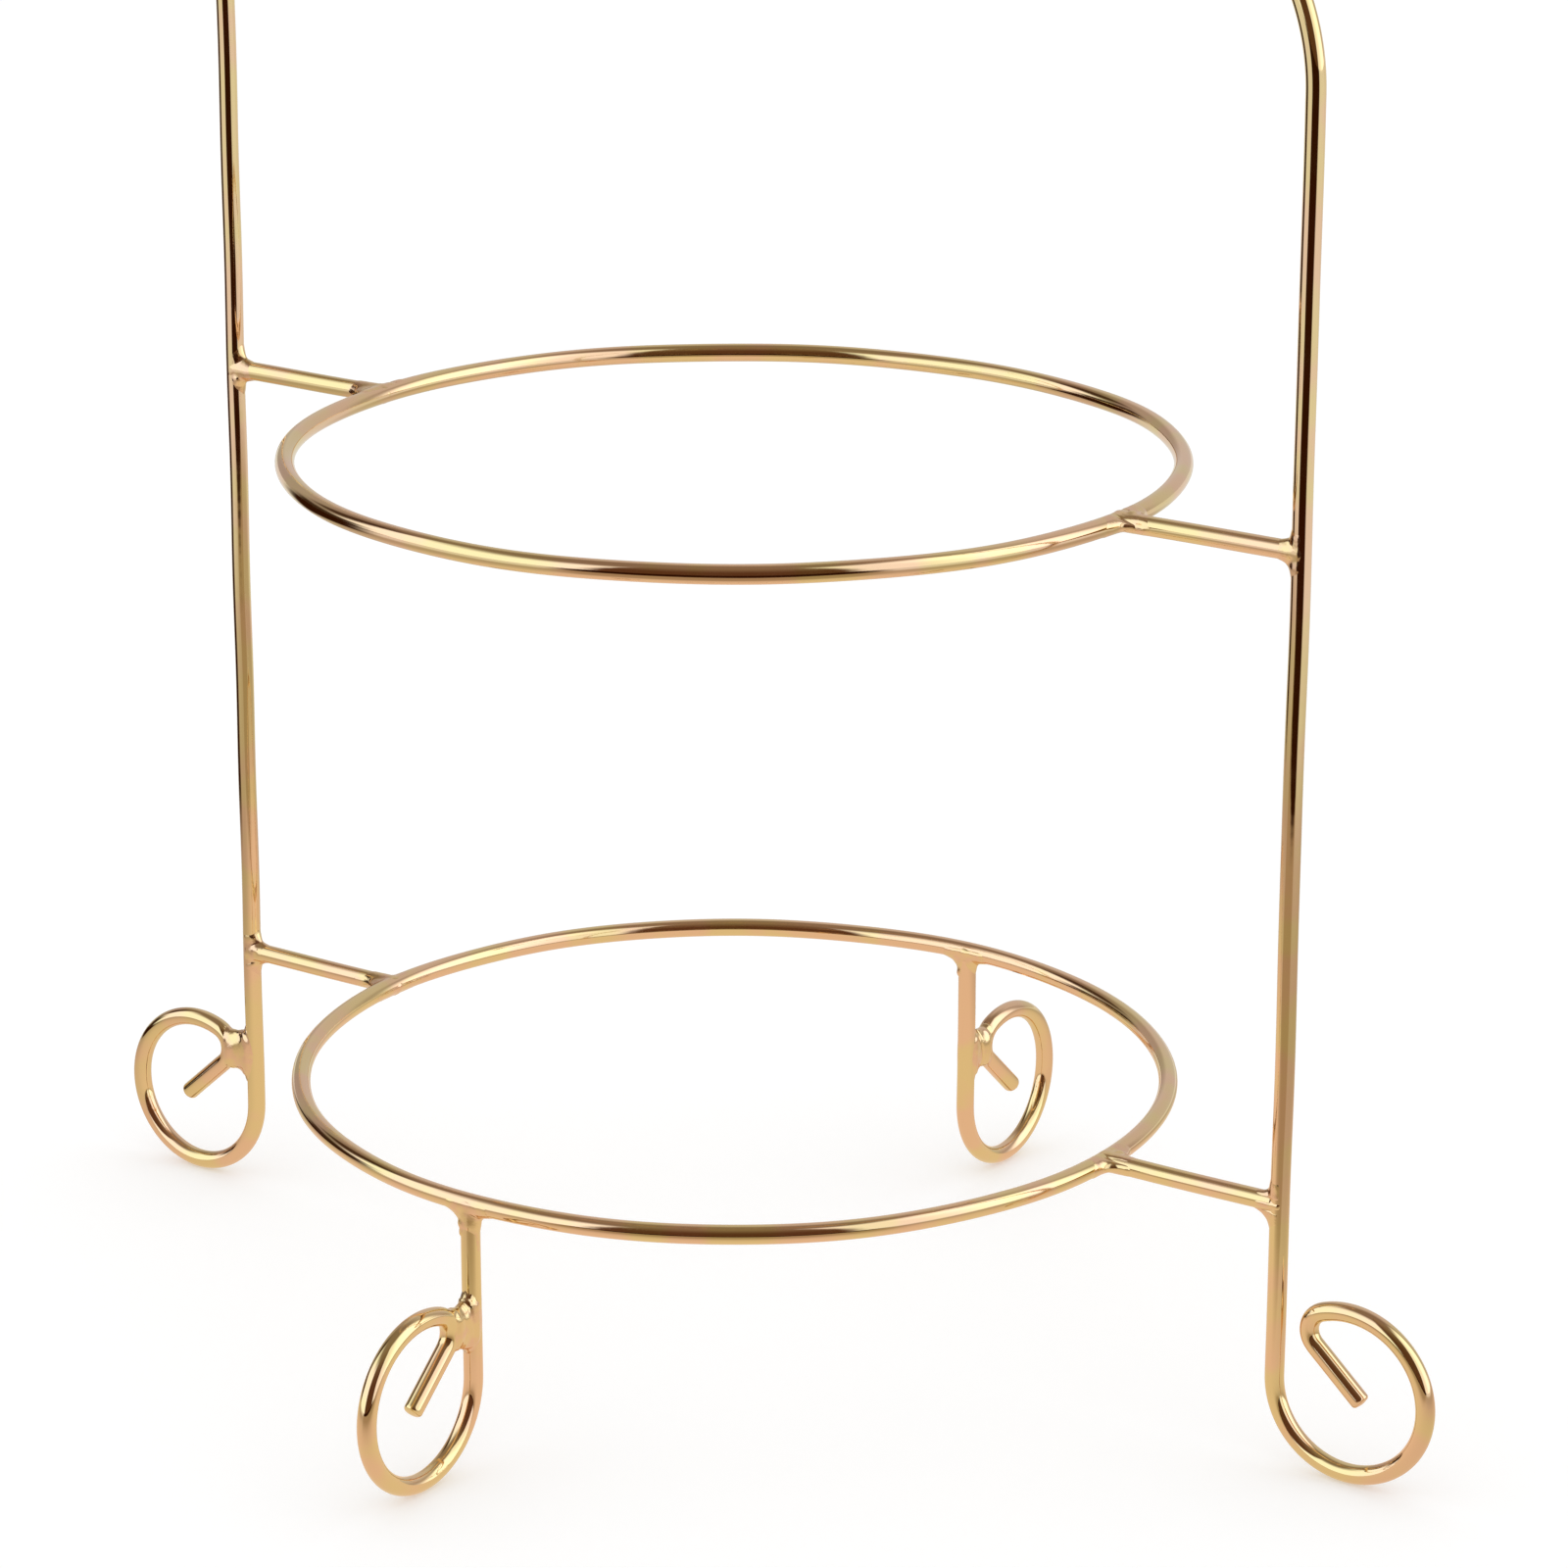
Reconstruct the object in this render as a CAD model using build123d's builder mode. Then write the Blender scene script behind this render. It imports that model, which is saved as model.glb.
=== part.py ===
# Two-tier cake stand, bent and welded from round wire and plated all over.
# Millimetres, +Z up. The origin is on the table, midway between the two uprights.
# The bow stands in the XZ plane, -Y is the front and +X is the right.

import os
from build123d import *

# Driving dimensions. Heights are from the table to a wire's centreline.
wire_diameter = 4.0
ring_diameter = 185.0          # each tier, across the centreline of its wire
lower_tier_height = 56.4
tier_spacing = 135.4           # from the lower ring up to the upper ring
upright_spacing = 267.0        # between the centrelines of the two uprights
straight_height = 281.4        # where the uprights start to bend towards each other
arch_rise = 75.0               # from there up to the crown
shoulder_radius = 45.0         # the bend at each shoulder of the arch

scroll_radius = 17.2           # the round bottom that a foot stands on
crest_radius = 17.5            # the bend over the top of the scroll
crest_overrun = 22.0           # degrees that the crest goes on past level
curl_radius = 4.5              # the tight turn beside the leg
tail_fall = 42.0               # degrees below level, of the straight tail
tail_length = 15.0
tail_end_round = 0.8           # the edge of each sheared wire end

cope_lap = 1.2                 # how far a butting end wraps the wire that it meets
weld_reach = 3.4               # along the butting wire, from the other wire's surface
weld_spread = 8.0              # extra half-length at the other wire's axis, fading to none
weld_skin = 0.3                # braze over the wires at the edge of each weld
weld_sections = 5

bead_thickness = 3.2           # the braze between a scroll's curl and its leg
bead_leg_height = 9.0          # where it meets the leg,
bead_waist_height = 5.6        # halfway,
bead_curl_height = 7.0         # and where it meets the curl

# Worked out from the driving dimensions.
wire_radius = wire_diameter / 2
ring_radius = ring_diameter / 2
upright_x = upright_spacing / 2
upper_tier_height = lower_tier_height + tier_spacing
scroll_height = wire_radius + scroll_radius
curl_turn = 180 - crest_overrun - tail_fall
crest_offset = Vector(crest_radius - curl_radius, 0).rotate(Axis.Z, 90 + crest_overrun)
curl_reach = 2 * scroll_radius - crest_radius + crest_offset.X - curl_radius   # from the leg's axis
curl_height = scroll_height + crest_offset.Y

# A three-centred arch: the crown's arc is tangent inside the two shoulder arcs.
shoulder_x = upright_x - shoulder_radius
crown_radius = (shoulder_x**2 + arch_rise**2 - shoulder_radius**2) / (2 * (arch_rise - shoulder_radius))
crown_centre = Vector(0, straight_height + arch_rise - crown_radius)
shoulder_centre = Vector(shoulder_x, straight_height)
shoulder_end = shoulder_centre + (shoulder_centre - crown_centre).normalized() * shoulder_radius

sides = {"left": -1, "right": 1}
ends = {"front": -1, "rear": 1}
brazed_sides = ["left"]        # the right scroll stands clear of its leg
tiers = {"lower": lower_tier_height, "upper": upper_tier_height}

os.makedirs("parts", exist_ok=True)


def leg_and_scroll(top):
    """A straight leg down from top and the scroll at its foot, which curls towards local +X."""
    leg = Line(top, (top[0], scroll_height))
    bowl = JernArc(leg @ 1, leg % 1, scroll_radius, 180)
    crest = JernArc(bowl @ 1, bowl % 1, crest_radius, 90 + crest_overrun)
    curl = JernArc(crest @ 1, crest % 1, curl_radius, curl_turn)
    Line(curl @ 1, curl @ 1 + (curl % 1) * tail_length)


def end_plane(path):
    """The plane square to a path at its start, where the wire's round section goes."""
    return Plane(origin=path @ 0, z_dir=path % 0)


def tail_edges(solid, tail_ends):
    """The sharp rim of each sheared tail, picked by the centre of its end face."""
    return [
        edge for edge in solid.edges().filter_by(GeomType.CIRCLE)
        if any((edge.arc_center - end).length < wire_radius / 10 for end in tail_ends)
    ]


def weld(name, joint, butting_wire, through_wire):
    """A flared fillet of braze. Local +Z of joint follows the butting wire away from the
    through wire, whose axis passes through the origin along local X."""
    reach = wire_radius + weld_reach
    with BuildPart() as bead:
        for step in range(weld_sections):
            along = step / (weld_sections - 1)
            with BuildSketch(joint.offset(along * reach)):
                Ellipse(
                    wire_radius + weld_skin + weld_spread * (1 - along) ** 2,
                    wire_radius + weld_skin,
                )
        loft()
        add(butting_wire.part, mode=Mode.SUBTRACT)
        add(through_wire.part, mode=Mode.SUBTRACT)
    finish(name, bead)


def scroll_bead(name, across, wire):
    """The braze in the gap between a scroll's curl and its leg. Local +Z of across runs outwards
    from the leg's axis at the height of the curl, and local X is upright."""
    with BuildPart() as bead:
        for step, height in enumerate((bead_leg_height, bead_waist_height, bead_curl_height)):
            with BuildSketch(across.offset(curl_reach * step / 2)):
                Ellipse(height / 2, bead_thickness / 2)
        loft()
        add(wire.part, mode=Mode.SUBTRACT)
    finish(name, bead)


def finish(name, piece):
    """Label a piece and write it to its own file."""
    piece.part.label = name
    export_step(piece.part, f"parts/{name}.step")


# The bow: one wire from tail to tail, through both scroll feet, both uprights and the arch.
with BuildPart() as bow_frame:
    with BuildLine(Plane.XZ, mode=Mode.PRIVATE) as bow_line:
        RadiusArc((0, straight_height + arch_rise), (shoulder_end.X, shoulder_end.Y), crown_radius)
        shoulder = RadiusArc(
            (shoulder_end.X, shoulder_end.Y), (upright_x, straight_height), shoulder_radius
        )
        leg_and_scroll((upright_x, straight_height))
        mirror(about=Plane.YZ)
    bow_path = bow_line.wire()
    with BuildSketch(end_plane(bow_path)):
        Circle(wire_radius)
    sweep(path=bow_path)
    fillet(tail_edges(bow_frame.part, [bow_path @ 0, bow_path @ 1]), tail_end_round)
finish("bow_frame", bow_frame)

for side in brazed_sides:
    beside_leg = Plane(
        origin=(sides[side] * upright_x, 0, curl_height), x_dir=(0, 0, 1), z_dir=(sides[side], 0, 0)
    )
    scroll_bead(f"{side}_scroll_weld", beside_leg, bow_frame)

# The two tiers: plain rings.
rings = {}
for tier, height in tiers.items():
    with BuildPart() as ring:
        with BuildSketch(Plane.XZ):
            with Locations((ring_radius, height)):
                Circle(wire_radius)
        revolve(axis=Axis.Z)
    rings[tier] = ring
    finish(f"{tier}_ring", ring)

# Four struts carry the rings between the uprights. Their ends are coped round both wires.
for tier, height in tiers.items():
    for side, sign in sides.items():
        outwards = Plane(origin=(0, 0, height), x_dir=(0, 1, 0), z_dir=(sign, 0, 0))
        inwards = Plane(origin=(sign * upright_x, 0, height), x_dir=(0, 0, 1), z_dir=(-sign, 0, 0))
        strut_start = ring_radius + wire_radius - cope_lap
        strut_end = upright_x - wire_radius + cope_lap
        with BuildPart() as strut:
            with BuildSketch(outwards.offset(strut_start)):
                Circle(wire_radius)
            extrude(amount=strut_end - strut_start)
            add(rings[tier].part, mode=Mode.SUBTRACT)
            add(bow_frame.part, mode=Mode.SUBTRACT)
        finish(f"{tier}_{side}_strut", strut)
        weld(f"{tier}_{side}_ring_weld", outwards.offset(ring_radius), strut, rings[tier])
        weld(f"{tier}_{side}_upright_weld", inwards, strut, bow_frame)

# Two separate feet hang from the lower ring, a quarter turn round from the bow's own feet.
for end, sign in ends.items():
    foot_plane = Plane(origin=(0, sign * ring_radius, 0), x_dir=(0, sign, 0), z_dir=(sign, 0, 0))
    under_ring = Plane(
        origin=(0, sign * ring_radius, lower_tier_height), x_dir=(1, 0, 0), z_dir=(0, 0, -1)
    )
    with BuildPart() as foot:
        with BuildLine(foot_plane, mode=Mode.PRIVATE) as foot_line:
            leg_and_scroll((0, lower_tier_height - wire_radius + cope_lap))
        foot_path = foot_line.wire()
        with BuildSketch(end_plane(foot_path)):
            Circle(wire_radius)
        sweep(path=foot_path)
        fillet(tail_edges(foot.part, [foot_path @ 1]), tail_end_round)
        add(rings["lower"].part, mode=Mode.SUBTRACT)
    finish(f"{end}_foot", foot)
    weld(f"{end}_foot_weld", under_ring, foot, rings["lower"])
    beside_leg = Plane(
        origin=(0, sign * ring_radius, curl_height), x_dir=(0, 0, 1), z_dir=(0, sign, 0)
    )
    scroll_bead(f"{end}_scroll_weld", beside_leg, foot)
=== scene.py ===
# The looks of a two-tier cake stand: round wire, bent, brazed together and plated a bright gold.
# Metres, +Z up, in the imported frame: the bow stands in the XZ plane, and -Y is the front.

import math
from functools import partial

import bpy
import numpy as np
from mathutils import Matrix, Vector


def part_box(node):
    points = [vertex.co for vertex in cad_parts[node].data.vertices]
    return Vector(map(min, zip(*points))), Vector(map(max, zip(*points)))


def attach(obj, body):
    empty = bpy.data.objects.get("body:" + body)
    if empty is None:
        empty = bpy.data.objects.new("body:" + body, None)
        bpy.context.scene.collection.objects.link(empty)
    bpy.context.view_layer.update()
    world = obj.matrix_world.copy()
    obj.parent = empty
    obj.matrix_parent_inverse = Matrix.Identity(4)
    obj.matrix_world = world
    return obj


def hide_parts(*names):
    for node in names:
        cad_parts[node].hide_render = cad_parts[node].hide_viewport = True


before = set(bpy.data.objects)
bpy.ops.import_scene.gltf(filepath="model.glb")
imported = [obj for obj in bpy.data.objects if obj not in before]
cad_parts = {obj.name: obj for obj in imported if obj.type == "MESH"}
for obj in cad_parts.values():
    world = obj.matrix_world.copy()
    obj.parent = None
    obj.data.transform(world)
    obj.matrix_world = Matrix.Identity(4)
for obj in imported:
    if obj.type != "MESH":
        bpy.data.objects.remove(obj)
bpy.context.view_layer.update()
mm = 0.001
print("frame loaded:", len(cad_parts), "nodes")


# What the frame says about the wires.

def middleOf(node):
    low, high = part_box(node)
    return (low + high) / 2


bowLow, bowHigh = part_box("bow_frame")
wireRadius = (bowHigh.y - bowLow.y) / 2
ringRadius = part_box("upper_ring")[1].x - wireRadius
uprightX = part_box("upper_right_upright_weld")[1].x          # a weld starts at the upright's axis
tierHeight = {"lower": middleOf("lower_ring").z, "upper": middleOf("upper_ring").z}
crownHeight = bowHigh.z - wireRadius
scrollRadius = (bowHigh.x - wireRadius - uprightX) / 2
scrollHeight = wireRadius + scrollRadius
sides = {"left": -1, "right": 1}
ends = {"front": -1, "rear": 1}


cameraSettings = {
    "heading": 34.36,          # degrees round to the right from the front
    "elevation": 17.69,
    "distance": 1.1489,
    "aimHeight": 0.1205,
    "aimRight": 0.0104,        # the aim is this far to the right of the middle
    "lens": 125.4,
    "roll": 0.18,              # degrees
}


def aimCamera(settings):
    heading = math.radians(settings["heading"])
    elevation = math.radians(settings["elevation"])
    roll = math.radians(settings["roll"])
    right = Vector((math.cos(heading), math.sin(heading), 0))
    back = Vector((
        math.sin(heading) * math.cos(elevation),
        -math.cos(heading) * math.cos(elevation),
        math.sin(elevation),
    ))
    up = back.cross(right)
    aim = right * settings["aimRight"] + Vector((0, 0, settings["aimHeight"]))
    lensData = bpy.data.cameras.new("camera")
    lensData.lens = settings["lens"]
    camera = bpy.data.objects.new("camera", lensData)
    bpy.context.scene.collection.objects.link(camera)
    cameraX = right * math.cos(roll) + up * math.sin(roll)
    cameraY = up * math.cos(roll) - right * math.sin(roll)
    turned = Matrix((cameraX, cameraY, back)).transposed().to_4x4()
    camera.matrix_world = Matrix.Translation(aim + back * settings["distance"]) @ turned
    bpy.context.scene.camera = camera


aimCamera(cameraSettings)
print("camera set")


def addMath(tree, operation, first, second=0.0):
    node = tree.nodes.new("ShaderNodeMath")
    node.operation = operation
    for socket, value in zip(node.inputs, (first, second)):
        if isinstance(value, (int, float)):
            socket.default_value = value
        else:
            tree.links.new(value, socket)
    return node.outputs[0]


def addFade(tree, value, start, end, low=0.0, high=1.0):
    # A smooth step: low up to start, high from end on.
    node = tree.nodes.new("ShaderNodeMapRange")
    node.interpolation_type = "SMOOTHSTEP"
    tree.links.new(value, node.inputs["Value"])
    node.inputs["From Min"].default_value = start
    node.inputs["From Max"].default_value = end
    node.inputs["To Min"].default_value = low
    node.inputs["To Max"].default_value = high
    return node.outputs["Result"]


def addMix(tree, share, first, second):
    # Colours or links, mixed by share.
    node = tree.nodes.new("ShaderNodeMix")
    node.data_type = "RGBA"
    sockets = (node.inputs["Factor"], node.inputs[6], node.inputs[7])
    for socket, value in zip(sockets, (share, first, second)):
        if isinstance(value, tuple):
            socket.default_value = (*value, 1.0)
        elif isinstance(value, float):
            socket.default_value = value
        else:
            tree.links.new(value, socket)
    return node.outputs[2]


def addWindow(tree, value, start, end, soft):
    # 1 between start and end, falling to 0 over soft on each side.
    rise = addFade(tree, value, start - soft / 2, start + soft / 2)
    fall = addFade(tree, value, end - soft / 2, end + soft / 2, 1.0, 0.0)
    return addMath(tree, "MULTIPLY", rise, fall)


def addStudioAxes(tree, source):
    # Turns source about Z, so that X runs to the right of the main view and -Y towards it. The bearing
    # is in degrees to the right of straight towards it.
    turn = tree.nodes.new("ShaderNodeMapping")
    turn.inputs["Rotation"].default_value = (0, 0, -math.radians(cameraSettings["heading"]))
    tree.links.new(source, turn.inputs["Vector"])
    split = tree.nodes.new("ShaderNodeSeparateXYZ")
    tree.links.new(turn.outputs["Vector"], split.inputs["Vector"])
    right, away, upwards = split.outputs
    towards = addMath(tree, "MULTIPLY", away, -1.0)
    bearing = addMath(tree, "MULTIPLY", addMath(tree, "ARCTAN2", right, towards), 180 / math.pi)
    return {"right": right, "towards": towards, "upwards": upwards, "bearing": bearing}


# Studio: a pale floor in a room of soft white panels, open towards the camera.

studioSettings = {
    "room": (0.27, 0.21, 0.16),             # the ceiling and everything that no panel covers
    # Bearings are degrees to the right of the main view's heading, heights are degrees above level.
    # The first soft is for the bearings and the second for the heights. The list holds four panels, a
    # brighter patch on the last of them, two dark gaps at the left, and then the opening.
    "panels": [
        {"bearings": (118, 198), "heights": (-90, 58), "soft": (34, 34), "light": (0.64, 0.60, 0.58)},
        {"bearings": (-165, -100), "heights": (-90, 32), "soft": (24, 20), "light": (0.44, 0.39, 0.36)},
        {"bearings": (-116, -10), "heights": (-90, 50), "soft": (14, 26), "light": (1.28, 1.38, 1.42)},
        {"bearings": (5, 106), "heights": (-90, 66), "soft": (16, 16), "light": (1.12, 1.14, 1.16)},
        {"bearings": (60, 106), "heights": (-90, 60), "soft": (30, 30), "light": (1.60, 1.66, 1.70)},
        {"bearings": (-136, -102), "heights": (-90, 14), "soft": (12, 12), "light": (0.055, 0.030, 0.016)},
        {"bearings": (-138, -114), "heights": (20, 44), "soft": (12, 12), "light": (0.07, 0.038, 0.020)},
        {"bearings": (-36, 30), "heights": (-90, 90), "soft": (7, 7), "light": (0.115, 0.052, 0.024)},
    ],
    "lift": (22, 84, (0.28, 0.21, 0.14)),   # the opening grows paler from the first height to the second
    "fill": 1.0,                            # even light on the floor
}

floorSettings = {
    "radius": 14.0,
    "rings": 24,
    "spokes": 96,
    "whiteness": 0.76,                      # of the paper that the camera sees
    "glow": 0.27,                           # its own light, which brings it near white
    "nearLight": (0.86, 0.72, 0.58),        # mirrored in the wire: the floor under the stand,
    "ringLight": (0.53, 0.46, 0.37),        # round it
    "farLight": (0.86, 0.86, 0.86),         # and further out
    "rearLight": (0.80, 0.78, 0.74),
    "openLight": (0.032, 0.008, 0.001),     # the dark room past the table's edge
    "near": (0.10, 0.34),                   # distances over which one light turns into the next
    "far": (0.40, 0.80),
    "rear": (0.15, 0.50),
    "frontLight": (0.42, 0.33, 0.22),
    "front": (0.10, 0.24),
    "tableEdge": (0.44, 0.51),              # the edge at the front,
    "opening": (-40, 34, 10),               # between these bearings, and softened over the third number
    "sideEdge": (0.34, 0.44),               # the table's edge to the left and behind, likewise
    "sideOpening": (-140, -98, 14),
}


def addChoice(tree, plain, mirrored, outputKind):
    # Reflections in the wire see the mirrored shader, and everything else sees the plain one.
    path = tree.nodes.new("ShaderNodeLightPath")
    choose = tree.nodes.new("ShaderNodeMixShader")
    output = tree.nodes.new(outputKind)
    tree.links.new(path.outputs["Is Glossy Ray"], choose.inputs["Fac"])
    tree.links.new(plain.outputs[0], choose.inputs[1])
    tree.links.new(mirrored.outputs[0], choose.inputs[2])
    tree.links.new(choose.outputs[0], output.inputs["Surface"])


def buildStudio(settings):
    # What the wire mirrors is worked out from the direction. The fill and the backdrop are even white.
    world = bpy.data.worlds.new("studio")
    bpy.context.scene.world = world
    world.use_nodes = True
    tree = world.node_tree
    tree.nodes.clear()
    place = tree.nodes.new("ShaderNodeTexCoord")
    studio = addStudioAxes(tree, place.outputs["Generated"])
    bearing = studio["bearing"]
    height = addMath(tree, "MULTIPLY", addMath(tree, "ARCSINE", studio["upwards"]), 180 / math.pi)
    light = settings["room"]
    for panel in settings["panels"]:
        soft, fade = panel["soft"]
        across = addWindow(tree, bearing, *panel["bearings"], soft)
        if panel["bearings"][1] > 180:   # past the back, where bearings jump by a whole turn
            wrapped = addMath(tree, "ADD", bearing, 360.0)
            across = addMath(tree, "MAXIMUM", across, addWindow(tree, wrapped, *panel["bearings"], soft))
        share = addMath(tree, "MULTIPLY", across, addWindow(tree, height, *panel["heights"], fade))
        light = addMix(tree, share, light, panel["light"])
        opening = across   # the last panel is the opening
    start, end, pale = settings["lift"]
    share = addMath(tree, "MULTIPLY", opening, addFade(tree, height, start, end))
    light = addMix(tree, share, light, pale)
    mirrored = tree.nodes.new("ShaderNodeBackground")
    tree.links.new(light, mirrored.inputs["Color"])
    plain = tree.nodes.new("ShaderNodeBackground")
    plain.inputs["Color"].default_value = (1, 1, 1, 1)
    plain.inputs["Strength"].default_value = settings["fill"]
    addChoice(tree, plain, mirrored, "ShaderNodeOutputWorld")


def floorFinish(settings):
    # White to the camera. In the wire it is warm under the stand, duller round it, pale further out and
    # behind, and dark past the table's edge at the front and on the left.
    material = bpy.data.materials.new("paleFloor")
    material.use_nodes = True
    tree = material.node_tree
    tree.nodes.clear()
    place = tree.nodes.new("ShaderNodeTexCoord")
    studio = addStudioAxes(tree, place.outputs["Object"])
    right, towards, bearing = studio["right"], studio["towards"], studio["bearing"]
    rightSquared = addMath(tree, "MULTIPLY", right, right)
    towardsSquared = addMath(tree, "MULTIPLY", towards, towards)
    far = addMath(tree, "SQRT", addMath(tree, "ADD", rightSquared, towardsSquared))
    away = addMath(tree, "MULTIPLY", towards, -1.0)
    opening = addWindow(tree, bearing, *settings["opening"])
    beyond = addFade(tree, far, *settings["near"])
    light = addMix(tree, beyond, settings["nearLight"], settings["ringLight"])
    light = addMix(tree, addFade(tree, far, *settings["far"]), light, settings["farLight"])
    light = addMix(tree, addFade(tree, away, *settings["rear"]), light, settings["rearLight"])
    front = addMath(tree, "MULTIPLY", opening, addFade(tree, towards, *settings["front"]))
    light = addMix(tree, front, light, settings["frontLight"])
    before = addMath(tree, "MULTIPLY", opening, addFade(tree, towards, *settings["tableEdge"]))
    light = addMix(tree, before, light, settings["openLight"])
    sideOpening = addWindow(tree, bearing, *settings["sideOpening"])
    beside = addMath(tree, "MULTIPLY", sideOpening, addFade(tree, far, *settings["sideEdge"]))
    light = addMix(tree, beside, light, settings["openLight"])
    mirrored = tree.nodes.new("ShaderNodeEmission")
    tree.links.new(light, mirrored.inputs["Color"])
    white = settings["whiteness"]
    matt = tree.nodes.new("ShaderNodeBsdfDiffuse")
    matt.inputs["Color"].default_value = (white, white, white, 1)
    glow = tree.nodes.new("ShaderNodeEmission")
    glow.inputs["Strength"].default_value = settings["glow"]
    paper = tree.nodes.new("ShaderNodeAddShader")
    tree.links.new(matt.outputs[0], paper.inputs[0])
    tree.links.new(glow.outputs[0], paper.inputs[1])
    addChoice(tree, paper, mirrored, "ShaderNodeOutputMaterial")
    return material


def gridFaces(rows, columns, wrapRows):
    # Four-sided faces between neighbouring rows and columns; the columns always close on themselves.
    lastRow = rows if wrapRows else rows - 1
    row, column = np.meshgrid(np.arange(lastRow), np.arange(columns), indexing="ij")
    nextRow, nextColumn = (row + 1) % rows, (column + 1) % columns
    corners = (row * columns + column, row * columns + nextColumn,
               nextRow * columns + nextColumn, nextRow * columns + column)
    return np.stack([corner.ravel() for corner in corners], axis=1)


def buildMesh(name, grid, startPole=None, endPole=None, wrapRows=False):
    # Joins a grid of points, with a fan of triangles to a pole at each open end, facing outwards.
    rows, columns = grid.shape[:2]
    points = grid.reshape(-1, 3)
    faces = gridFaces(rows, columns, wrapRows).tolist()
    around = np.arange(columns)
    following = (around + 1) % columns
    if startPole is not None:
        pole = np.full(columns, len(points))
        points = np.vstack([points, startPole])
        faces += np.stack([pole, following, around], axis=1).tolist()
    if endPole is not None:
        pole = np.full(columns, len(points))
        points = np.vstack([points, endPole])
        last = (rows - 1) * columns
        faces += np.stack([pole, last + around, last + following], axis=1).tolist()
    mesh = bpy.data.meshes.new(name)
    mesh.from_pydata(points.tolist(), [], faces)
    mesh.shade_smooth()
    mesh.update()
    return mesh


def addPiece(name, mesh, material, node):
    # Puts a finished mesh in the scene in place of its node.
    mesh.materials.append(material)
    piece = bpy.data.objects.new(name, mesh)
    bpy.context.scene.collection.objects.link(piece)
    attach(piece, "root")
    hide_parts(node)


def buildFloor(settings):
    # A flat disc: place = radius share squared, at each spoke's angle.
    share = np.linspace(1, 1 / settings["rings"], settings["rings"])[:, None] ** 2
    angle = np.linspace(0, 2 * math.pi, settings["spokes"], endpoint=False)[None, :]
    reach = settings["radius"] * share
    grid = np.stack([reach * np.cos(angle), reach * np.sin(angle), 0 * reach * angle], axis=2)
    mesh = buildMesh("floor", grid, endPole=np.zeros(3))
    mesh.materials.append(floorFinish(settings))
    floor = bpy.data.objects.new("floor", mesh)
    bpy.context.scene.collection.objects.link(floor)


buildStudio(studioSettings)
buildFloor(floorSettings)
bpy.context.scene.view_settings.view_transform = "Standard"
print("studio built")


platingSettings = {
    "straw": (0.83, 0.66, 0.34),
    "blush": (0.87, 0.60, 0.39),
    "patchSize": 0.014,
    "patchEdges": (0.38, 0.62),   # of the noise, from all straw to all blush
    "roughness": (0.035, 0.10),
    "smearSize": 0.009,
    "smearEdges": (0.35, 0.70),   # from the gloss to the duller roughness
    "drawLength": 0.030,       # the lines that the drawing die leaves, along the wire
    "drawWidth": 0.00022,
    "drawDepth": 0.000004,
    "rippleSize": 0.0035,      # the plating's slight orange peel
    "rippleDepth": 0.00001,
}

brazeSettings = {
    "straw": (0.84, 0.64, 0.34),
    "blush": (0.84, 0.57, 0.38),
    "patchSize": 0.0035,
    "patchEdges": (0.38, 0.62),
    "roughness": (0.07, 0.18),
    "smearSize": 0.0016,
    "smearEdges": (0.35, 0.70),
    "rippleSize": 0.0011,
    "rippleDepth": 0.00003,
    "pitSize": 0.0007,
    "pitDepth": 0.00002,
}


def addNoise(tree, source, size, detail=2.0, stretch=None):
    # Noise whose features are about size across, drawn out along Z when stretch is given.
    scaled = tree.nodes.new("ShaderNodeMapping")
    along = size if stretch is None else stretch
    scaled.inputs["Scale"].default_value = (1 / size, 1 / size, 1 / along)
    tree.links.new(source, scaled.inputs["Vector"])
    noise = tree.nodes.new("ShaderNodeTexNoise")
    noise.inputs["Scale"].default_value = 1.0
    noise.inputs["Detail"].default_value = detail
    tree.links.new(scaled.outputs["Vector"], noise.inputs["Vector"])
    return noise.outputs["Fac"]


def addBump(tree, height, depth, under=None):
    node = tree.nodes.new("ShaderNodeBump")
    node.inputs["Distance"].default_value = depth
    tree.links.new(height, node.inputs["Height"])
    if under is not None:
        tree.links.new(under, node.inputs["Normal"])
    return node.outputs["Normal"]


def startMetal(name, settings):
    # Polished plating: two close golds in soft patches, a gloss that changes a little from place to
    # place, and a slight ripple. Returns what its maker adds to.
    material = bpy.data.materials.new(name)
    material.use_nodes = True
    tree = material.node_tree
    shader = tree.nodes["Principled BSDF"]
    shader.inputs["Metallic"].default_value = 1.0
    place = tree.nodes.new("ShaderNodeTexCoord").outputs["Object"]
    patches = addFade(tree, addNoise(tree, place, settings["patchSize"]), *settings["patchEdges"])
    tree.links.new(addMix(tree, patches, settings["straw"], settings["blush"]), shader.inputs["Base Color"])
    gloss, matt = settings["roughness"]
    smears = addNoise(tree, place, settings["smearSize"], detail=4.0)
    roughness = addFade(tree, smears, *settings["smearEdges"], gloss, matt)
    tree.links.new(roughness, shader.inputs["Roughness"])
    ripples = addNoise(tree, place, settings["rippleSize"], detail=1.0)
    ripple = addBump(tree, ripples, settings["rippleDepth"])
    return {"material": material, "tree": tree, "shader": shader, "place": place, "ripple": ripple}


def platingFinish(settings):
    # The metal with fine lines along the wire.
    metal = startMetal("brightGoldPlating", settings)
    tree = metal["tree"]
    lay = tree.nodes.new("ShaderNodeAttribute")
    lay.attribute_name = "wireLay"
    lines = addNoise(
        tree, lay.outputs["Vector"], settings["drawWidth"], detail=3.0, stretch=settings["drawLength"]
    )
    relief = addBump(tree, lines, settings["drawDepth"], metal["ripple"])
    tree.links.new(relief, metal["shader"].inputs["Normal"])
    return metal["material"]


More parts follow.
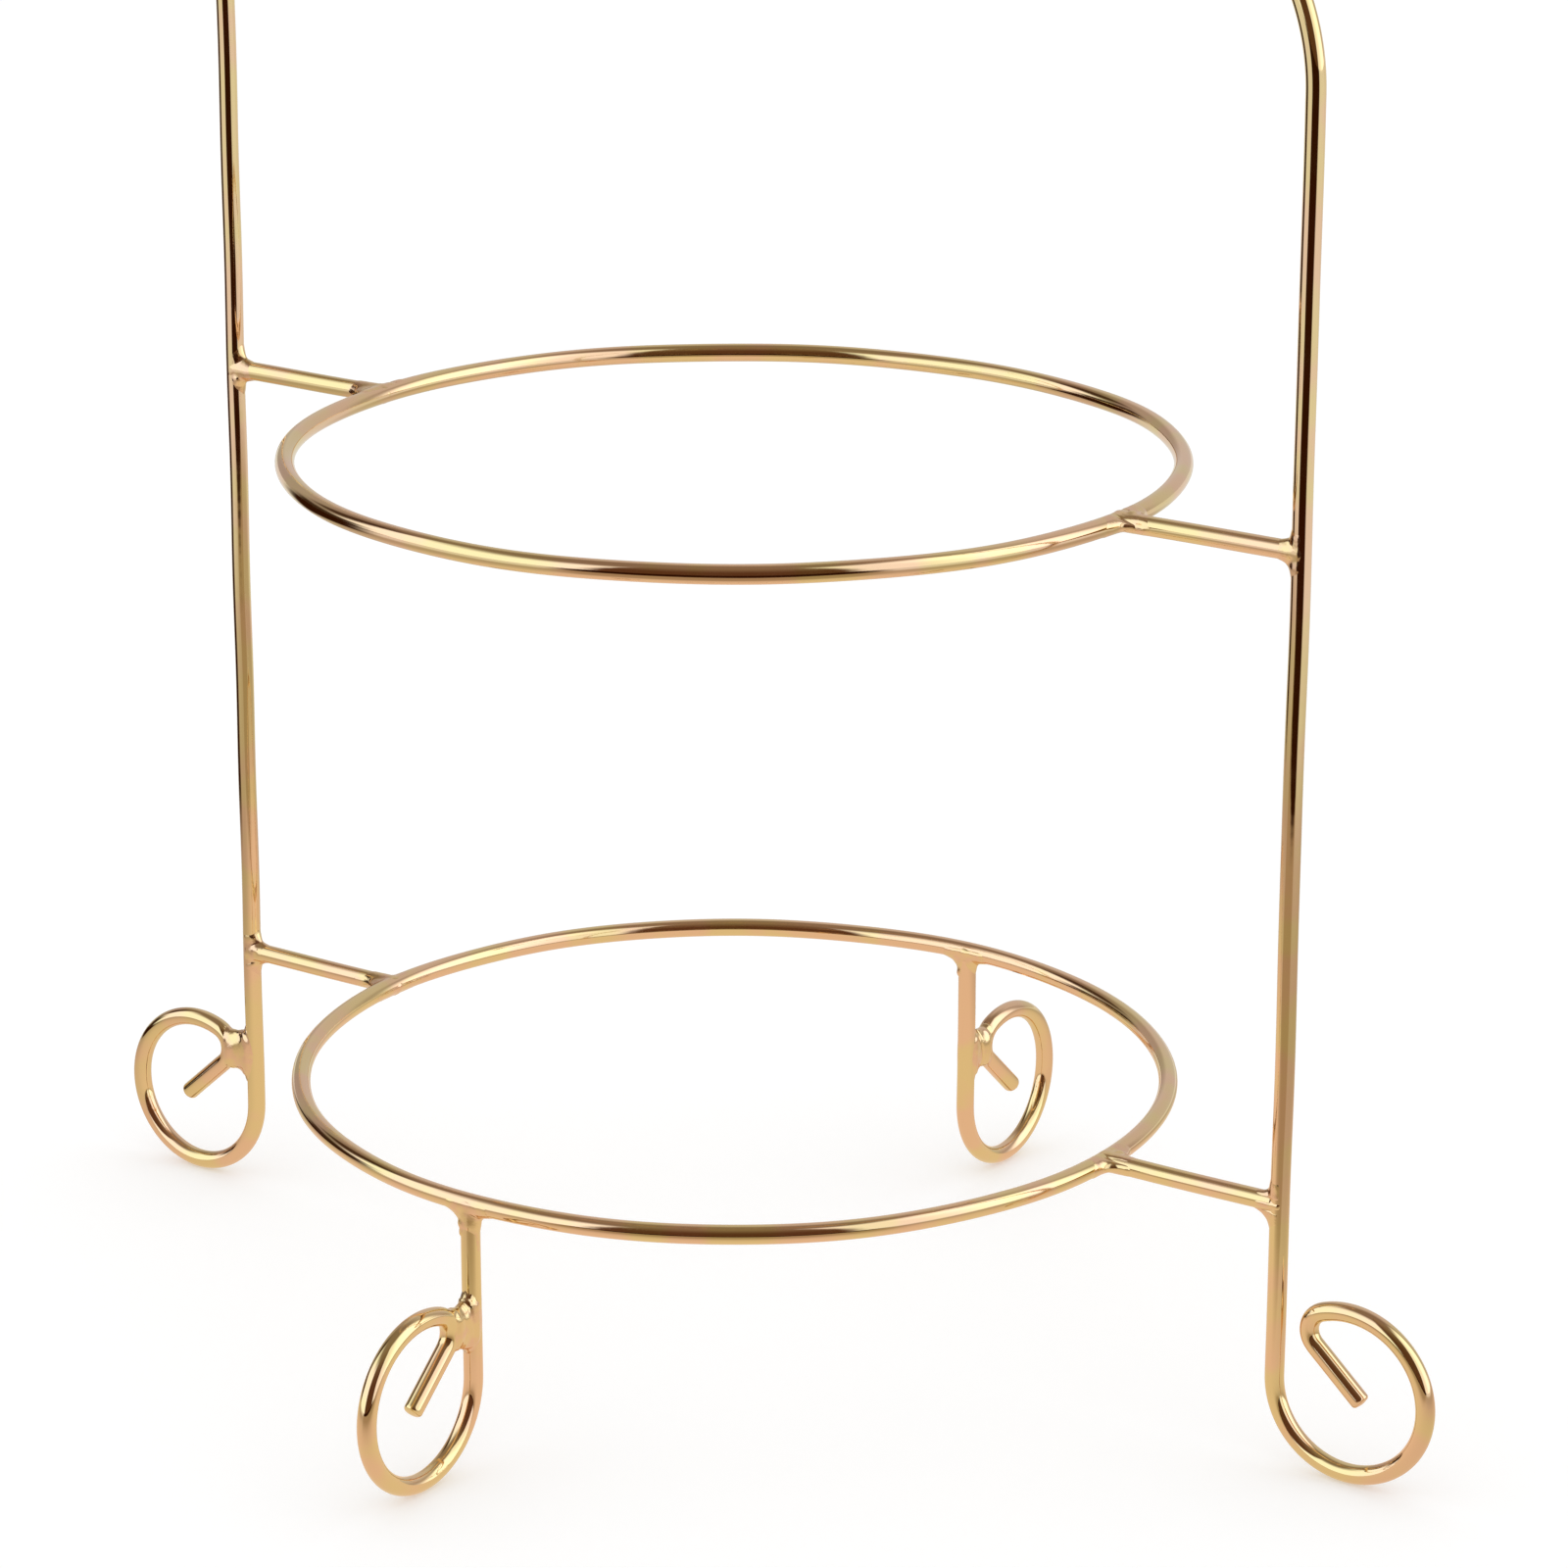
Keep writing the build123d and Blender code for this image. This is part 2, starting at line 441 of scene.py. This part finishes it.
def brazeFinish(settings):
    # The metal with small pits.
    metal = startMetal("platedBraze", settings)
    tree = metal["tree"]
    pits = addNoise(tree, metal["place"], settings["pitSize"], detail=3.0)
    relief = addBump(tree, pits, settings["pitDepth"], metal["ripple"])
    tree.links.new(relief, metal["shader"].inputs["Normal"])
    return metal["material"]


plating = platingFinish(platingSettings)
braze = brazeFinish(brazeSettings)
print("finishes made")


# Each piece takes its own seeds, which count up from these.
seeds = {"bow": 11, "tiers": 31, "joints": 71, "scrolls": 91}

wireSettings = {
    "facets": 36,              # round the wire
    "step": 1.2 * mm,          # along straight wire
    "turnStep": 3.5,           # degrees, round a bend
    "fineStep": 0.1 * mm,      # for working out the line
    "easing": 3.0 * mm,        # a bend starts and ends over this length
    "flattening": 0.06,        # how much a tight bend flattens the wire
    "waver": 0.10 * mm,        # how far hand-bent wire strays from its line
    "waverLengths": (0.047, 0.083, 0.140),
    "endRound": 0.8 * mm,
    "endDome": 0.18 * mm,
    "endSteps": 6,
    "ringFineness": 1.5,       # stations on a ring, for each on straight wire
}

bendSettings = {
    "straightHeight": 281.4 * mm,    # where the uprights start to bend towards each other
    "shoulderRadius": 45.0 * mm,
    "crestRadius": 17.5 * mm,
    "crestTurn": 112.0,
    "curlRadius": 4.5 * mm,
    "tailFall": 42.0,
    "tailLength": 15.0 * mm,
    "bite": 1.2 * mm,                # a butting end goes this far past the other wire's surface
}


def bentLine(stretches, settings):
    # Stretches are (length, turn in degrees). The heading is the running sum of the turns, eased at
    # each change of bend, and the place is the running sum of the heading's cosine and sine. Returns
    # the distance along, the place in the line's plane, the heading and the bend, all finely spaced.
    step = settings["fineStep"]
    counts = [max(1, round(length / step)) for length, turn in stretches]
    bend = np.concatenate([
        np.full(count, math.radians(turn) / (count * step))
        for count, (length, turn) in zip(counts, stretches)
    ])
    window = np.hanning(round(settings["easing"] / step) | 1)
    half = len(window) // 2
    bend = np.convolve(np.pad(bend, half, mode="edge"), window / window.sum(), mode="valid")
    heading = np.concatenate([[0.0], np.cumsum(bend) * step])
    middle = (heading[1:] + heading[:-1]) / 2
    place = np.cumsum(np.stack([np.cos(middle), np.sin(middle)], axis=1) * step, axis=0)
    place = np.vstack([[0.0, 0.0], place])
    return np.arange(len(heading)) * step, place, heading, np.concatenate([bend[:1], bend])


def stationsOn(along, bend, settings):
    # Distances along the line, close together where it bends.
    need = 1 / settings["step"] + np.abs(bend) / math.radians(settings["turnStep"])
    total = np.concatenate([[0.0], np.cumsum((need[1:] + need[:-1]) / 2 * np.diff(along))])
    return np.interp(np.linspace(0, total[-1], math.ceil(total[-1]) + 1), total, along)


def waverOf(along, settings, seed, length=None):
    # A sum of long sine waves; on a closed ring they come round whole.
    random = np.random.default_rng(seed)
    stray = np.zeros_like(along)
    for wave in settings["waverLengths"]:
        turns = 1 / wave if length is None else round(length / wave) / length
        stray += np.sin(2 * math.pi * (along * turns + random.random())) * settings["waver"] / 2
    return stray


def sectionRows(place, heading, bend, radius, stray, axes, settings):
    # A round section square to the line, flatter in the bend's plane and wider across it where the bend
    # is tight: point = place + stray + radius * (cos(around) * inwards + sin(around) * across).
    first, second, across = axes
    around = np.linspace(0, 2 * math.pi, settings["facets"], endpoint=False)[None, :, None]
    line = place[:, :1] * first + place[:, 1:] * second
    inwards = -np.sin(heading)[:, None] * first + np.cos(heading)[:, None] * second
    tight = np.minimum(np.abs(bend) * wireRadius, 1.0)[:, None, None] * settings["flattening"]
    middle = (line + stray[0][:, None] * inwards + stray[1][:, None] * across)[:, None, :]
    radius = np.broadcast_to(radius, len(place))[:, None, None]
    return middle + radius * (
        np.cos(around) * (1 - tight) * inwards[:, None, :] + np.sin(around) * (1 + tight / 2) * across
    )


def endProfile(settings):
    # From the full wire to the middle of its cut end: a quarter round, then a shallow dome.
    edge, dome, steps = settings["endRound"], settings["endDome"], settings["endSteps"]
    turn = np.linspace(0, math.pi / 2, steps + 1)
    flat = (wireRadius - edge) * np.linspace(1, 0, steps + 1)[1:-1]
    radius = np.concatenate([wireRadius - edge + edge * np.cos(turn), flat])
    reach = np.concatenate([edge * np.sin(turn) - edge, dome * (1 - (flat / (wireRadius - edge)) ** 2)])
    return radius, reach


def layWire(mesh, grid, along, poles):
    # Keeps each point's place on the straight wire: its section's two coordinates and the distance along.
    around = np.linspace(0, 2 * math.pi, grid.shape[1], endpoint=False)[None, :]
    along = along[:, None] + 0 * around
    lay = np.stack([np.cos(around) + 0 * along, np.sin(around) + 0 * along, along / wireRadius], axis=2)
    lay = np.vstack([lay.reshape(-1, 3) * wireRadius, *poles])
    attribute = mesh.attributes.new("wireLay", "FLOAT_VECTOR", "POINT")
    attribute.data.foreach_set("vector", lay.astype(np.float32).ravel())


def buildWire(name, stretches, anchor, axes, seed, settings):
    # Sweeps the round section along a bent line, with both ends closed. anchor says which distance
    # along lies where, and with what heading.
    along, place, heading, bend = bentLine(stretches, settings)
    anchorAlong, anchorPlace, anchorHeading = anchor
    turn = anchorHeading - np.interp(anchorAlong, along, heading)
    cosine, sine = math.cos(turn), math.sin(turn)
    place = place @ np.array([[cosine, sine], [-sine, cosine]])
    heading = heading + turn
    here = np.array([np.interp(anchorAlong, along, line) for line in place.T])
    place = place + np.array(anchorPlace) - here
    station = stationsOn(along, bend, settings)
    endRadius, endReach = endProfile(settings)
    length = along[-1]
    inside = station[(station > settings["endRound"]) & (station < length - settings["endRound"])]
    station = np.concatenate([-endReach[::-1], inside, length + endReach])
    radius = np.concatenate([endRadius[::-1], np.full(len(inside), wireRadius), endRadius])
    held = np.clip(station, 0, length)
    past = (station - held)[:, None]
    angle = np.interp(held, along, heading)
    spot = np.stack([np.interp(held, along, place[:, 0]), np.interp(held, along, place[:, 1])], axis=1)
    spot = spot + past * np.stack([np.cos(angle), np.sin(angle)], axis=1)
    stray = (waverOf(station, settings, seed), waverOf(station, settings, seed + 1))
    grid = sectionRows(spot, angle, np.interp(held, along, bend), radius, stray, axes, settings)
    poles = [grid[0].mean(axis=0), grid[-1].mean(axis=0)]
    mesh = buildMesh(name, grid, *poles)
    layWire(mesh, grid, station, [[0, 0, station[0]], [0, 0, station[-1]]])
    return mesh


def buildRing(name, height, seed, settings):
    # A closed ring in a level plane: a circle of the ring's radius that carries the round section.
    length = 2 * math.pi * ringRadius
    count = round(length / settings["step"] * settings["ringFineness"])
    turn = np.linspace(0, 2 * math.pi, count, endpoint=False)
    place = ringRadius * np.stack([np.cos(turn), np.sin(turn)], axis=1)
    along = turn * ringRadius
    stray = (waverOf(along, settings, seed, length), waverOf(along, settings, seed + 1, length))
    axes = (np.array([1.0, 0, 0]), np.array([0, 1.0, 0]), np.array([0, 0, 1.0]))
    grid = sectionRows(place, turn + math.pi / 2, 0 * turn, wireRadius, stray, axes, settings)
    grid = grid + np.array([0, 0, height])
    mesh = buildMesh(name, grid, wrapRows=True)
    layWire(mesh, grid, along, [])
    return mesh


def archTurns(settings):
    # Two shoulder arcs, with the crown's arc tangent between them. Returns its radius and half its turn.
    rise = crownHeight - settings["straightHeight"]
    inside = uprightX - settings["shoulderRadius"]
    shoulder = settings["shoulderRadius"]
    crown = (inside**2 + rise**2 - shoulder**2) / (2 * (rise - shoulder))
    return crown, math.degrees(math.asin(inside / (crown - shoulder)))


def arc(radius, turn):
    # A bend's length is its radius times its turn in radians.
    return (radius * math.radians(abs(turn)), turn)


def scrollStretches(settings):
    # From the foot of the leg: the bowl, over the crest, the tight curl and the straight tail.
    curlTurn = 270 - settings["crestTurn"] - settings["tailFall"]
    return [
        arc(scrollRadius, 180),
        arc(settings["crestRadius"], settings["crestTurn"]),
        arc(settings["curlRadius"], curlTurn),
        (settings["tailLength"], 0),
    ]


def buildBow(settings, wires):
    # The crown's arc, and from each end of it a shoulder, an upright and a scroll.
    crownRadius, crownTurn = archTurns(settings)
    half = [
        arc(settings["shoulderRadius"], -(90 - crownTurn)),
        (settings["straightHeight"] - scrollHeight, 0),
        *scrollStretches(settings),
    ]
    stretches = [*half[::-1], arc(crownRadius, -2 * crownTurn), *half]
    middle = sum(length for length, turn in stretches) / 2
    axes = (np.array([1.0, 0, 0]), np.array([0, 0, 1.0]), np.array([0, -1.0, 0]))
    return buildWire("bowWire", stretches, (middle, (0, crownHeight), 0.0), axes, seeds["bow"], wires)


def buildFoot(name, sign, seed, settings, wires):
    # The top end bites into the ring above it.
    top = tierHeight["lower"] - wireRadius + settings["bite"]
    stretches = [(top - scrollHeight, 0), *scrollStretches(settings)]
    axes = (np.array([0, sign, 0.0]), np.array([0, 0, 1.0]), np.array([sign, 0, 0.0]))
    return buildWire(name, stretches, (0, (ringRadius, top), -math.pi / 2), axes, seed, wires)


def buildStrut(name, sign, height, seed, settings, wires):
    # Straight, and biting into the ring and the upright.
    start = ringRadius + wireRadius - settings["bite"]
    length = uprightX - ringRadius - 2 * (wireRadius - settings["bite"])
    axes = (np.array([sign, 0.0, 0]), np.array([0, 0, 1.0]), np.array([0, -sign, 0.0]))
    return buildWire(name, [(length, 0)], (0, (start, height), 0.0), axes, seed, wires)


addPiece("bowWire", buildBow(bendSettings, wireSettings), plating, "bow_frame")
seed = seeds["tiers"]
for tier, height in tierHeight.items():
    ring = buildRing(f"{tier}RingWire", height, seed, wireSettings)
    addPiece(f"{tier}RingWire", ring, plating, f"{tier}_ring")
    for side, sign in sides.items():
        seed += 2
        name = f"{tier}{side.title()}StrutWire"
        strut = buildStrut(name, sign, height, seed, bendSettings, wireSettings)
        addPiece(name, strut, plating, f"{tier}_{side}_strut")
    seed += 2
for end, sign in ends.items():
    name = f"{end}FootWire"
    foot = buildFoot(name, sign, seed, bendSettings, wireSettings)
    addPiece(name, foot, plating, f"{end}_foot")
    seed += 2
print("wires bent")


surfaceSettings = {
    "rows": 96,                # from the butting wire round to the back of the other
    "columns": 168,
    "steps": 48,               # out to the reach, to find the surface,
    "halvings": 14,            # and then to close in on it
    "lumpWaves": (1.9 * mm, 2.6 * mm, 3.7 * mm),
    "lumpDirections": 3,       # for each wave
}

jointSettings = {
    "reach": 11.0 * mm,        # no braze past this
    "skin": 0.08 * mm,         # over the wires, thinning to nothing at the spread
    "sunk": 0.22 * mm,         # and lying under their surface beyond it
    "wrap": 0.3 * mm,          # behind the through wire's axis, the skin is whole to here
    "wrapSoft": 1.2 * mm,      # and gone this much further on
    "filletWidth": 1.17,       # the blend that gives a fillet, against the fillet
    "leastFillet": 0.1 * mm,
    "filletSoft": 0.8 * mm,    # half the width over which one fillet turns into the other
    "webStart": -0.8 * mm,     # out along the butting wire, where the web begins,
    "webGrowth": 2.2 * mm,     # and over this it is whole
    "webHalf": 1.65 * mm,      # half the thickness of the web in each crook
    "webRound": 2.0 * mm,
    "webBlend": 0.7 * mm,      # under four times sunk, so that no sleeve stands out past the spread
    "cornerBlend": 0.5 * mm,
    "dropBlend": 0.9 * mm,
    "creaseWidth": 0.42 * mm,
    "spreadSoft": 2.4 * mm,
}

# Millimetres. Fillets are towards the through wire's + and - ends. Lumps are their height. Creases are
# (place along the through wire, slant in degrees, depth). Drops are (out along the butting wire, along the
# through wire, to the side, radius).
joints = {
    "upper_left_ring": {
        "fillets": (3.8, 6.6), "spread": 6.2, "lumps": 0.04,
        "creases": [(3.0, 12, 0.20)],
        "drops": [],
    },
    "upper_right_ring": {
        "fillets": (6.4, 4.0), "spread": 6.4, "lumps": 0.08,
        "creases": [(-1.8, 25, 0.22), (0.4, -30, 0.20), (2.4, 20, 0.16)],
        "drops": [(2.6, 0.8, 1.4, 0.9)],
    },
    "lower_left_ring": {
        "fillets": (3.8, 6.0), "spread": 5.8, "lumps": 0.03,
        "creases": [],
        "drops": [],
    },
    "lower_right_ring": {
        "fillets": (5.6, 4.0), "spread": 6.0, "lumps": 0.06,
        "creases": [(-1.0, 25, 0.26)],
        "drops": [(2.4, 1.6, 1.2, 1.0)],
    },
    "upper_left_upright": {
        "fillets": (2.8, 2.6), "spread": 4.2, "lumps": 0.06,
        "creases": [(-1.4, 20, 0.14)],
        "drops": [(1.4, -2.0, 1.2, 0.9)],
    },
    "upper_right_upright": {
        "fillets": (2.2, 3.0), "spread": 3.6, "lumps": 0.04,
        "creases": [],
        "drops": [],
    },
    "lower_left_upright": {
        "fillets": (2.6, 2.6), "spread": 3.8, "lumps": 0.05,
        "creases": [(-1.0, 30, 0.14)],
        "drops": [(2.2, 1.0, 1.2, 0.7)],
    },
    "lower_right_upright": {
        "fillets": (2.2, 4.4), "spread": 4.2, "lumps": 0.06,
        "creases": [(-1.6, 15, 0.30), (1.6, -20, 0.30)],
        "drops": [(1.6, -3.6, 1.0, 1.0)],
    },
    "front_foot": {
        "fillets": (3.0, 4.6), "spread": 4.6, "lumps": 0.05,
        "creases": [],
        "drops": [(4.4, -1.4, 1.0, 0.8), (6.2, -1.2, 1.2, 0.7)],
    },
    "rear_foot": {
        "fillets": (2.6, 3.8), "spread": 4.2, "lumps": 0.05,
        "creases": [],
        "drops": [(5.0, -1.0, 1.2, 0.8)],
    },
}


def blend(first, second, reach):
    # The smaller of two distances, rounded off where they are within reach of each other.
    share = np.clip(0.5 + 0.5 * (second - first) / reach, 0, 1)
    return second + (first - second) * share - reach * share * (1 - share)


def fadeOut(value, start, length):
    # A smooth step: 1 up to start, 0 from start + length on.
    past = np.clip((value - start) / length, 0, 1)
    return 1 - past * past * (3 - 2 * past)


def lumpsAt(points, seed, settings):
    # The mean of seeded sine waves of each length, in several directions.
    random = np.random.default_rng(seed)
    total = np.zeros(points.shape[:-1])
    repeats = settings["lumpDirections"]
    for wave in settings["lumpWaves"]:
        for repeat in range(repeats):
            direction = random.normal(size=3)
            direction *= 2 * math.pi / wave / np.linalg.norm(direction)
            total += np.sin(points @ direction + random.random() * 2 * math.pi) / repeats
    return total / len(settings["lumpWaves"])


def skinAt(points, joint, cover, place, side, seed):
    # How far the braze stands over the wires' surface: the skin where cover is 1 and sunk where it is 0,
    # with lumps added and creases taken away. Each crease is a slanted groove across place and side, and
    # its depth is deep * exp(-(across / width)^2).
    settings = jointSettings
    skin = cover * settings["skin"] - (1 - cover) * settings["sunk"]
    skin = skin + cover * joint["lumps"] * mm * lumpsAt(points, seed, surfaceSettings)
    for start, slant, deep in joint["creases"]:
        turned = math.radians(slant)
        across = (place - start * mm) * math.cos(turned) + side * math.sin(turned)
        skin = skin - cover * deep * mm * np.exp(-(across / settings["creaseWidth"]) ** 2)
    return skin


def brazeDepth(points, joint, axes, throughGap, buttingGap, seed, settings):
    # Distance outside the braze: both wires, blended into a web that fills the crooks between them with
    # wide fillets and is about as thick as they are, less a thin skin near the joint, plus drops. The
    # fillets' widths turn from minus to plus with the tanh of the place along the through wire. The
    # side away from the butting wire has no skin.
    out, along, side = (points @ axis for axis in axes)
    far = np.linalg.norm(points, axis=-1)
    plus, minus = (fillet * settings["filletWidth"] * mm for fillet in joint["fillets"])
    toPlus = 0.5 + 0.5 * np.tanh(along / settings["filletSoft"])
    ahead = 1 - fadeOut(out, settings["webStart"], settings["webGrowth"])
    through, butting = throughGap(points), buttingGap(points)
    fillet = (minus + (plus - minus) * toPlus) * ahead + settings["leastFillet"]
    web = -blend(-blend(through, butting, fillet), settings["webHalf"] - np.abs(side), settings["webRound"])
    depth = blend(blend(through, butting, settings["cornerBlend"]), web, settings["webBlend"])
    behind = fadeOut(-out, settings["wrap"], settings["wrapSoft"])
    cover = fadeOut(far, joint["spread"] * mm, settings["spreadSoft"]) * behind
    depth = depth - skinAt(points, joint, cover, along, side, seed)
    for outwards, onward, aside, radius in joint["drops"]:
        middle = (outwards * axes[0] + onward * axes[1] + aside * axes[2]) * mm
        drop = np.linalg.norm(points - middle, axis=-1) - radius * mm
        depth = blend(depth, drop, settings["dropBlend"])
    return depth


def firstCrossing(ways, depthAt, reach, settings):
    # Steps outwards in every direction at once, and brackets the first step that is outside the braze.
    steps = np.linspace(0, reach, settings["steps"])
    outside = depthAt(ways[:, None, :] * steps[None, :, None]) > 0
    outside[:, -1] = True
    first = np.argmax(outside, axis=1)
    return steps[first - 1], steps[first]


def buildBraze(name, centre, axes, depthAt, reach, settings):
    # A closed surface about the joint's centre. In each direction the distance out is stepped and then
    # halved to where the braze's depth is nought: point = centre + distance * direction.
    polar = np.linspace(0, math.pi, settings["rows"] + 2)[1:-1][:, None]
    turn = np.linspace(0, 2 * math.pi, settings["columns"], endpoint=False)[None, :]
    out, along, side = axes
    ways = (
        (np.cos(polar) + 0 * turn)[..., None] * out
        + (np.sin(polar) * np.cos(turn))[..., None] * along
        + (np.sin(polar) * np.sin(turn))[..., None] * side
    )
    ways = np.concatenate([ways.reshape(-1, 3), [out, -out]])
    low, high = firstCrossing(ways, depthAt, reach, settings)
    for halving in range(settings["halvings"]):
        middle = (low + high) / 2
        outside = depthAt(ways * middle[:, None]) > 0
        low, high = np.where(outside, low, middle), np.where(outside, middle, high)
    points = centre + ways * low[:, None]
    grid = points[:-2].reshape(settings["rows"], settings["columns"], 3)
    return buildMesh(name, grid[::-1], points[-1], points[-2])   # reversed, so that the faces look outwards


def gapToLine(points, direction):
    # Distance from the surface of a straight wire through the centre.
    beside = points - (points @ direction)[..., None] * direction
    return np.linalg.norm(beside, axis=-1) - wireRadius


def gapToRay(points, direction):
    # The same for a wire that starts at the centre.
    ahead = np.maximum(points @ direction, 0)
    return np.linalg.norm(points - ahead[..., None] * direction, axis=-1) - wireRadius


def gapToRing(points, outwards):
    # Distance from the surface of a ring that passes through the centre. Outwards is away from its middle.
    place = points + outwards * ringRadius
    level = np.hypot(place[..., 0], place[..., 1])
    return np.hypot(level - ringRadius, place[..., 2]) - wireRadius


up = np.array([0, 0, 1.0])


def addBraze(name, centre, axes, depthAt, reach):
    # upper_left_ring gives upperLeftRingBraze, in place of upper_left_ring_weld.
    words = name.split("_")
    pieceName = words[0] + "".join(word.title() for word in words[1:]) + "Braze"
    mesh = buildBraze(pieceName, centre, axes, depthAt, reach, surfaceSettings)
    addPiece(pieceName, mesh, braze, f"{name}_weld")


def brazeJoints(joints, settings):
    # Out runs along the butting wire and along runs along the through wire.
    for seed, (name, joint) in enumerate(joints.items(), seeds["joints"]):
        where, place = name.rsplit("_", 1)
        if place == "foot":
            outwards = np.array([0, float(ends[where]), 0])
            centre = outwards * ringRadius + up * tierHeight["lower"]
            out, along = -up, np.array([1.0, 0, 0])
            throughGap = partial(gapToRing, outwards=outwards)
        else:
            tier, side = where.split("_")
            outwards = np.array([float(sides[side]), 0, 0])
            if place == "ring":
                centre = outwards * ringRadius + up * tierHeight[tier]
                out, along = outwards, np.array([0, 1.0, 0])
                throughGap = partial(gapToRing, outwards=outwards)
            else:
                centre = outwards * uprightX + up * tierHeight[tier]
                out, along = -outwards, up
                throughGap = partial(gapToLine, direction=up)
        axes = (out, along, np.cross(out, along))
        depthAt = partial(
            brazeDepth, joint=joint, axes=axes, throughGap=throughGap,
            buttingGap=partial(gapToRay, direction=out), seed=seed, settings=settings,
        )
        addBraze(name, centre, axes, depthAt, settings["reach"])


brazeJoints(joints, jointSettings)
print("joints brazed")


beadSettings = {
    "reach": 7.0 * mm,
    "halfHeight": 3.4 * mm,    # of the bridge, at its waist
    "halfThickness": 1.5 * mm,
    "lap": 0.4 * mm,           # how far the bridge alone runs into each wire
    "inset": 1.2 * mm,         # the skin starts to thin this far short of the leg's axis and the curl's,
    "insetSoft": 1.6 * mm,     # and is gone this much further on
    "blend": 4.2 * mm,
    "cornerBlend": 3.0 * mm,
    "spread": 5.0 * mm,
    "spreadSoft": 1.0 * mm,
}

# Millimetres. Lumps are as above, creases are placed by how far out from the gap's middle they lie, and rise
# is how far the bridge stands above the curl's middle.
beads = {
    "left_scroll": {"lumps": 0.03, "creases": [], "rise": 0.3},
    "front_scroll": {"lumps": 0.05, "creases": [(-1.4, -10, 0.10)], "rise": -0.4},
    "rear_scroll": {"lumps": 0.05, "creases": [(0.2, 8, 0.26)], "rise": 0.2},
}


def beadDepth(points, bead, axes, half, seed, settings):
    # Distance outside the bead: the leg and the curl, half to each side of the middle, blended into an
    # ellipsoid that bridges the gap between them. Past the spread the surface lies under that of the
    # wires.
    out, along, side = (points @ axis for axis in axes)
    leg = np.hypot(out + half, side) - wireRadius
    curlRadius = bendSettings["curlRadius"]
    curl = np.hypot(np.hypot(out - half - curlRadius, along) - curlRadius, side) - wireRadius
    length = half - wireRadius + settings["lap"]
    height, thickness = settings["halfHeight"], settings["halfThickness"]
    upwards = along - bead["rise"] * mm
    share = np.sqrt((out / length) ** 2 + (upwards / height) ** 2 + (side / thickness) ** 2)
    bridge = (share - 1) * thickness
    depth = blend(blend(leg, curl, settings["cornerBlend"]), bridge, settings["blend"])
    cover = fadeOut(np.linalg.norm(points, axis=-1), settings["spread"], settings["spreadSoft"])
    cover = cover * fadeOut(np.abs(out), half - settings["inset"], settings["insetSoft"])
    return depth - skinAt(points, bead, cover, out, along, seed)


def brazeScrolls(beads, settings):
    # Each bead lies halfway from its leg's axis to its curl's.
    for seed, (name, bead) in enumerate(beads.items(), seeds["scrolls"]):
        middle = np.array(middleOf(f"{name}_weld"))
        where = name.split("_")[0]
        if where in sides:
            out = np.array([float(sides[where]), 0, 0])
            half = abs(middle[0]) - uprightX
        else:
            out = np.array([0, float(ends[where]), 0])
            half = abs(middle[1]) - ringRadius
        axes = (out, up, np.cross(out, up))
        depthAt = partial(beadDepth, bead=bead, axes=axes, half=half, seed=seed, settings=settings)
        addBraze(name, middle, axes, depthAt, settings["reach"])


brazeScrolls(beads, beadSettings)
print("scrolls brazed to their legs")
